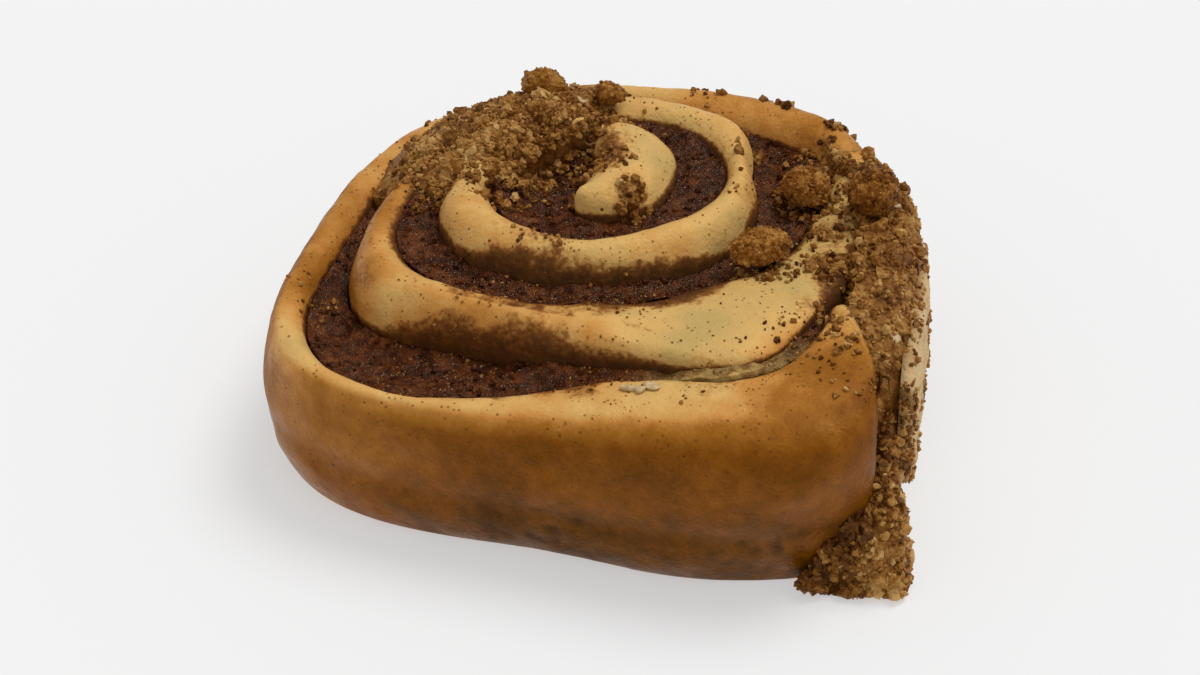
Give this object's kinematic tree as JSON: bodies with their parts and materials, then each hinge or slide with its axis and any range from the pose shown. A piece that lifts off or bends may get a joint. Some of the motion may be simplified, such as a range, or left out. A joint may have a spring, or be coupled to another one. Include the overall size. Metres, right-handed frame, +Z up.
{
  "type": "cinnamon roll",
  "caption": "Cinnamon roll with streusel: a wound strip of baked dough with a dark filling between its wraps, and streusel on top and down one side.",
  "frame": {"origin": "middle of the bounding box in plan, on the flat base that the roll rests on", "axes": "+Z up from the base; +X along the front face to the right, towards the streusel bank; +Y from the front face to the back"},
  "size_m": [0.1012, 0.091, 0.0387],
  "materials": {
    "dough": "baked dough, satin",
    "filling": "sticky cinnamon filling, glossy",
    "streusel_heap": "crumbly streusel, matte",
    "streusel_bank": "crumbly streusel, matte",
    "torn_crumb": "torn bread crumb, matte",
    "lump_back": "caramelised streusel, satin",
    "lump_back_small": "caramelised streusel, satin",
    "lump_front": "caramelised streusel, satin",
    "lump_right": "caramelised streusel, satin",
    "lump_pocket": "caramelised streusel, satin"
  },
  "bodies": {
    "root": {"dough": "dough", "filling": "filling", "streusel_heap": "streusel_heap", "streusel_bank": "streusel_bank", "torn_crumb": "torn_crumb", "lump_back": "lump_back", "lump_back_small": "lump_back_small", "lump_front": "lump_front", "lump_right": "lump_right", "lump_pocket": "lump_pocket"}
  },
  "joints": []
}
